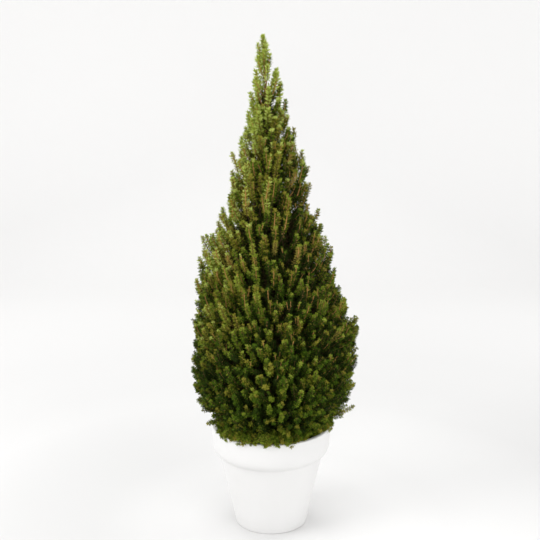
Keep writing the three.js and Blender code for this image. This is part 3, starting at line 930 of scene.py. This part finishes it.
def toned(tip, rng):
    """A tone for each shoot: painted shade the further in its tip stands, painted light to the left, and
    lighter high up, partly painted light and partly the fresher growth at the top.
    """
    z = tip[:, 2]
    away = off_trunk(tip)
    depth = by_height(z, OUTLINE) - np.linalg.norm(away, axis=1)
    leftward = -np.cos(np.arctan2(away[:, 1], away[:, 0]))
    painted_left_lift = by_height(z, PAINTED_LEFT_LIGHT) * np.clip(leftward, -0.25, 1)
    # painted shade for a tip's depth in the crown, painted light by height and to the left
    light = 2.4 + by_height(z, LIGHTER) + painted_left_lift - depth / 15 + rng.normal(0, 0.8, len(z))
    tone = np.select([light < 0.6, light < 1.5, light < 2.6, light < 4.2], [DEEP, MOSS, LEAF, OLIVE], FRESH)
    bronzed = rng.uniform(0, 1, len(z)) < by_height(z, BRONZED_SHARE)
    return np.where(bronzed & (tone > DEEP) & (tone < FRESH), BRONZE, tone)


def outside_shoots(rng):
    """All shoots that end at the outline, and the kind of each."""
    grown = [leading_shoots(rng), spire_shoots(rng), skirt_shoots(rng), outer_shoots()]
    root, elbow, tip = (np.vstack([part[n] for part in grown]) for n in range(3))
    counts = [LEADING_SHOOTS, SPIRE_SHOOTS, 1, SKIRT_SHOOTS, len(grown[-1][0])]
    kind = np.repeat([LEADING, SPIRE, LEADER, SKIRT, OUTER], counts)
    z = tip[:, 2]
    needle = rng.uniform(*NEEDLE_LENGTH, len(z)) + by_height(z, LONGER)
    needle = np.where(kind == LEADER, LEADER_NEEDLE, needle)
    density = np.where(kind == OUTER, OUTER_DENSITY, by_height(z, DENSITY))
    density = np.where(kind == LEADER, LEADER_DENSITY, density)
    shoots = Shoots(root, elbow, tip, needle, 0.0, toned(tip, rng), density)
    shoots.bare = np.maximum(LEAST_BARE, 1 - LEAFED_LENGTH / shoots.lengths())
    shoots.bare[kind == SPIRE] = by_height(root[kind == SPIRE, 2], SPIRE_BARE)
    return shoots, kind


def side_shoots(leaders, kind, rng):
    """Shorter shoots on most of the others, that leave them sideways and turn up beside them."""
    index = np.arange(len(kind))
    many = len(index)
    share = rng.uniform(0.3, 0.7, many)
    root = leaders.at(index, share)
    way = leaders.along(index, share)
    aside = square_to(way, index * 1.7 + rng.uniform(-0.5, 0.5, many))
    length = (leaders.lengths() * (1 - share) * rng.uniform(0.5, 0.95, many) + 6)[:, None]
    spread = rng.uniform(0.0, 0.2, many)[:, None]
    up = unit(leaders.tip - leaders.elbow + np.array([0, 0, 4.0]))
    elbow = root + unit(way + 2.0 * aside) * 0.22 * length
    tip = elbow + unit(up + spread * aside) * 0.84 * length

    on_leading = rng.uniform(0, 1, many) < by_height(leaders.tip[:, 2], SIDE_SHOOT_SHARE)
    on_spire = rng.uniform(0, 1, many) < 0.3
    kinds = [kind == LEADING, kind == SPIRE, kind == LEADER, kind == OUTER]
    beside = np.select(kinds, [on_leading, on_spire, index < 0, index % 3 == 0], True)
    beside &= (tip[:, 2] > POT_HEIGHT) | (np.linalg.norm(tip[:, :2], axis=1) < RIM_RADIUS - 8)
    root, elbow, tip, parent = (part[beside] for part in (root, elbow, tip, index))
    as_parent = rng.uniform(0, 1, len(parent)) < 0.4
    tone = np.where(as_parent, leaders.tone[parent], toned(tip, rng))
    return Shoots(root, elbow, tip, rng.uniform(*SIDE_NEEDLE, len(parent)), SIDE_BARE, tone, SIDE_DENSITY)


def inner_shoots(rng):
    """Shaded growth between the boughs and the dense outside, none of it past the dense inside."""
    z = rng.uniform(285, 1090, INNER_SHOOTS)
    z = z[rng.uniform(0, 165, INNER_SHOOTS) < core_reach(z)]
    many = len(z)
    angle = rng.uniform(0, FULL_TURN, many)
    rho = np.maximum(core_reach(z) - 6, 5) * np.sqrt(rng.uniform(0.35, 1.0, many))
    steep = rise(z) * 0.85 + rng.normal(0, 12, many) * DEGREE
    length = np.minimum(rng.uniform(45, 80, many), (z - 250) / np.maximum(np.sin(steep), 0.3))
    root_rho = np.maximum(rho - length * np.cos(steep), 2)
    root = around_trunk(root_rho, angle + rng.normal(0, 0.2, many), z - length * np.sin(steep))
    tip = around_trunk(rho, angle, z)
    elbow = 0.5 * (root + tip) + around_trunk(5, angle, z) - around_trunk(0, angle, z)
    tone = rng.choice([SHADED, BROWNED], many, p=[0.75, 0.25])
    tone = np.where(z > MOSSY_ABOVE, MOSS, tone)
    return Shoots(root, elbow, tip, rng.uniform(*INNER_NEEDLE, many), INNER_BARE, tone, INNER_DENSITY)


def twigs_to(shoots, rng):
    """Twigs from the boughs and the trunk out to the foot of each shoot."""
    end = shoots.root
    z = end[:, 2]
    away = off_trunk(end)
    rho = np.linalg.norm(away, axis=1)
    angle = np.arctan2(away[:, 1], away[:, 0])
    start_rho = np.minimum(0.22 * rho, 40) * rng.uniform(0.1, 1.0, len(z))
    start_z = np.maximum(z - 0.75 * (rho - start_rho) * np.tan(0.8 * rise(z)), SOIL_TOP + 12)
    start = around_trunk(start_rho, angle + rng.normal(0, 0.2, len(z)), start_z)
    bend = around_trunk(0.6 * rho, angle, 0.4 * start_z + 0.6 * z - 0.08 * rho)
    return Shoots(start, bend, end)


def stems(name, shoots, index, part, radii, finish, steps=4, sides=3):
    """Thin tapering tubes along a part of each shoot, joined in one mesh."""
    t = np.linspace(0, 1, steps + 1)
    first, last = (np.broadcast_to(end, len(index))[:, None] for end in part)
    share = first + (last - first) * t
    grid = np.repeat(index[:, None], steps + 1, 1)
    middle = shoots.at(grid, share)
    way = shoots.along(grid, share)
    side = side_of(way)
    other = np.cross(way, side)
    radius = radii[0] + (radii[1] - radii[0]) * t
    turn = np.arange(sides) / sides * FULL_TURN
    circle = side[:, :, None] * np.cos(turn)[:, None] + other[:, :, None] * np.sin(turn)[:, None]
    ring = middle[:, :, None] + circle * radius[None, :, None, None]
    at = (np.arange(len(index)) * (steps + 1) * sides)[:, None, None, None]
    k = (np.arange(steps) * sides)[None, :, None, None]
    a = np.arange(sides)[None, None, :, None]
    b = (np.arange(sides) + 1)[None, None, :, None] % sides
    quads = np.concatenate([at + k + a, at + k + b, at + k + b + sides, at + k + a + sides], -1)
    joined(name, ring.reshape(-1, 3), quads.reshape(-1, 4), finish, smooth=True)


def make_stems(shoots, outside, twigs):
    """The stems of the outside shoots in parts, in a lit brown and a shaded copy of it as painted light and
    shade, those of the inner ones, and the twigs.
    """
    shade = plain("twig_brown", (0.075, 0.045, 0.024), 0.75)
    outer, inner = np.arange(outside), np.arange(outside, len(shoots.root))
    # painted light and shade: stems of the lit shoots get a bright orange-brown, the others a darker shaded
    # copy
    lit = (shoots.tip[outer, 2] > 520 + 110 * uneven(outer, 1.9)) & (uneven(outer, 4.7) > -0.1)
    young = shoots.root[outer, 2] > 985 + 25 * uneven(outer, 2.9)
    ripe = np.maximum(shoots.bare[outer], np.where(lit, 0.5 + 0.1 * uneven(outer, 1.7), 0.3))
    brown = plain("stem_brown_lit", (0.50, 0.255, 0.085), 0.6)
    stems("lit_shoot_stems", shoots, outer[lit], (ripe[lit], 0.97), (1.5, 1.0), brown)
    dim = plain("stem_shaded", (0.125, 0.085, 0.028), 0.7)
    stems("shaded_shoot_stems", shoots, outer[~lit], (ripe[~lit], 1.0), (1.2, 0.8), dim)
    warm = plain("stem_young", (0.30, 0.155, 0.06), 0.65)
    stems("young_stems", shoots, outer[young], (0.0, ripe[young]), (1.7, 1.4), warm)
    stems("bare_stems", shoots, outer[~young], (0.0, ripe[~young]), (1.4, 1.3), shade)
    stems("inner_stems", shoots, inner, (0.0, 1.0), (1.5, 0.9), shade, steps=3)
    stems("twigs", twigs, np.arange(len(twigs.root)), (0.0, 1.0), (2.2, 1.5), shade)


# ---------------------------------------------------------------- needles
class Needles:
    """All needles of the shoots as arrays, and where each stands on its shoot."""

    def __init__(self, shoots, rng):
        length = shoots.lengths()
        leafed = length * (1 - shoots.bare)
        counts = np.maximum((leafed * shoots.density).astype(int), FEWEST)
        first = np.concatenate([[0], np.cumsum(counts)[:-1]])
        self.shoot = index = np.repeat(np.arange(len(length)), counts)
        n = np.arange(len(index)) - first[index]
        height = shoots.tip[index, 2]
        along = 1 - (1 - (n + 0.5) / counts[index]) ** 1.25
        whorls = np.maximum(np.round(leafed[index] / WHORL_SPACING), 1) * FULL_TURN
        crowding = np.where(height > LEADER_TIP, LEADER_CROWDING, by_height(height, CROWDING))
        share_leafed = np.clip(along - crowding * np.sin(along * whorls) / whorls, 0, 1)
        self.share = shoots.bare[index] + (1 - shoots.bare[index]) * share_leafed
        self.base = shoots.at(index, self.share)
        way = shoots.along(index, self.share)
        turn = n * GOLDEN_TURN + index * 1.3 + rng.uniform(-0.25, 0.25, len(n))
        self.near_tip = np.exp(-(1 - share_leafed) * leafed[index] / TIP_FADE)
        closing = by_height(height, CLOSING) * self.near_tip
        angle = (by_height(height, OPENING) - closing + rng.normal(0, OPENING_SPREAD, len(n))) * DEGREE
        self.direction = way * np.cos(angle)[:, None] + square_to(way, turn) * np.sin(angle)[:, None]

        # Tufts: needles are longer in some sectors of some whorls, and shorter between whorls.
        between = 0.5 - 0.5 * np.cos(along * whorls)
        whorl = np.floor(along * whorls / FULL_TURN + 0.5)
        sector = np.floor((turn / FULL_TURN % 1) * 4)
        swing = np.sin(index * 2.3 + whorl * 2.1 + sector * 2.6)
        tuft = 0.97 + by_height(height, TUFT_SWING) * swing - HOLLOW_SHORTER * between
        long = shoots.needle[index] * (1 - TIP_SHORTER * self.near_tip)
        self.long = long * tuft * rng.uniform(0.88, 1.1, len(n))
        # painted light on long tufts, painted shade on short tufts and in the hollows between whorls
        self.lump_light_and_shade = np.clip(np.where(between > 0.72, -1, 0) + (tuft > 1.09) - (tuft < 0.84), -1, 1)

    def tones(self, shoots, rng):
        """A tone for each: its shoot's own, with painted shade low on it and in hollows and painted light on
        long tufts, fresher at its tip, and painted lighter at tips on the left.
        """
        index, share, z = self.shoot, self.share, self.base[:, 2]
        own = shoots.tone[index]
        green = (own >= MOSS) & (own <= OLIVE)
        blur = rng.uniform(-DARK_SHARE_SPREAD, DARK_SHARE_SPREAD, len(share))
        # painted shade on the lower part of each green shoot, and the tufts' painted light and shade
        painted_foot_shade = green & (share < DARK_SHARE + blur)
        tone = np.where(green, np.clip(own - painted_foot_shade + self.lump_light_and_shade, DEEP, OLIVE), own)

        # painted light: needles left of the trunk count as higher, so more of their tips are fresh green
        painted_light_lift = PAINTED_LIGHT_GAIN * np.maximum(-self.base[:, 0] - PAINTED_LIGHT_FROM, 0)
        newest = np.where(z + painted_light_lift > FRESH_ABOVE + 80 * uneven(index, 2.9), FRESH, YOUNG)
        at_tip = np.where(uneven(index, 3.7) > -0.3, newest, OLIVE)
        at_tip = np.select([own == MOSS, own == DEEP], [OLIVE, LEAF], at_tip)
        low_zone = shoots.tip[index, 2] < LOW_ZONE + 120 * uneven(index, 1.9)
        lifted = np.minimum(own + (uneven(index, 5.1) > 0.2), OLIVE)
        tip = (self.near_tip > TIP_NEARNESS) & (tone < SHADED)
        tone = np.where(tip, np.where(low_zone, lifted, at_tip), tone)

        # painted shade on the feet and in the hollows of the freshest shoots
        painted_shade_part = (self.lump_light_and_shade < 0) | (share < by_height(z, DULL_SHARE))
        fresh = np.where(painted_shade_part, np.where(z > LIGHT_DULL_ABOVE, YOUNG, OLIVE), newest)
        tone = np.where(own == FRESH, fresh, tone)
        # painted shade: olive needles at the foot of high shoots become leaf green
        foot = (z > LEAFY_FOOT_ABOVE) & (share < LEAFY_FOOT_SHARE + 0.15 * uneven(index, 4.3))
        tone = np.where(foot & (tone == OLIVE), LEAF, tone)
        warm = uneven(index, 2.1) > by_height(z, WARM_LIMIT)
        tone = np.select([warm & (tone == LEAF), warm & (tone == OLIVE)], [WARM_LEAF, WARM_OLIVE], tone)
        bud = (tone < SHADED) & (rng.uniform(0, 1, len(tone)) < by_height(z, BUD_SHARE))
        return np.where(bud, BUD, tone)


def needle_piece(name, base, direction, long, width, finish, rng):
    """Pointed needles, each folded along its middle into two faces, with their roots in the stem."""
    out = square_to(direction, rng.uniform(0, FULL_TURN, len(base)))
    width = width[:, None]
    fold = np.cross(direction, out) * (FOLD * width)
    middle = base + direction * (WIDEST_AT * long)[:, None]
    end = base + direction * long[:, None]
    points = np.stack([base, middle + out * 0.5 * width + fold, end, middle - out * 0.5 * width + fold], 1)
    at = (np.arange(len(base)) * 4)[:, None, None]
    faces = at + np.array([(0, 1, 2), (0, 2, 3)])[None]
    return joined(name, points.reshape(-1, 3), faces.reshape(-1, 3), finish)


def make_needles(shoots, rng):
    """The needles of each tone, in as many pieces as its faces need. They replace the solid masses."""
    needles = Needles(shoots, rng)
    tone = needles.tones(shoots, rng)
    long = np.where(tone == BUD, BUD_LENGTH * needles.long, needles.long)
    slim = by_height(needles.base[:, 2], WIDTH)
    for kind, (name, colour, roughness) in enumerate(TONES):
        finish = plain(name, colour, roughness)
        width = np.full(len(slim), INNER_WIDTH) if kind >= SHADED else slim
        chosen = np.flatnonzero(tone == kind)
        lots = max(1, math.ceil(len(chosen) * 2 / PIECE_FACES))
        for n, lot in enumerate(np.array_split(chosen, lots)):
            label = f"{name}_needles_{n + 1}" if lots > 1 else f"{name}_needles"
            base, direction = needles.base[lot], needles.direction[lot]
            needle_piece(label, base, direction, long[lot], width[lot], finish, rng)
    masses = []
    for name, _, _, count, _, _ in RINGS:
        masses += [f"{name}_foliage_{n + 1}" for n in range(count)] if count > 1 else [f"{name}_foliage"]
    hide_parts(*masses)


def grow_foliage():
    rng = np.random.default_rng(SEED)
    leaders, kind = outside_shoots(rng)
    sides = side_shoots(leaders, kind, rng)
    shoots = Shoots.together([leaders, sides, inner_shoots(rng)])
    make_stems(shoots, len(leaders.root) + len(sides.root), twigs_to(leaders, rng))
    make_needles(shoots, rng)


make_floor(paper_with_painted_light())
make_pot(white_plastic())
make_soil(compost())
make_limbs(rough_bark())
grow_foliage()
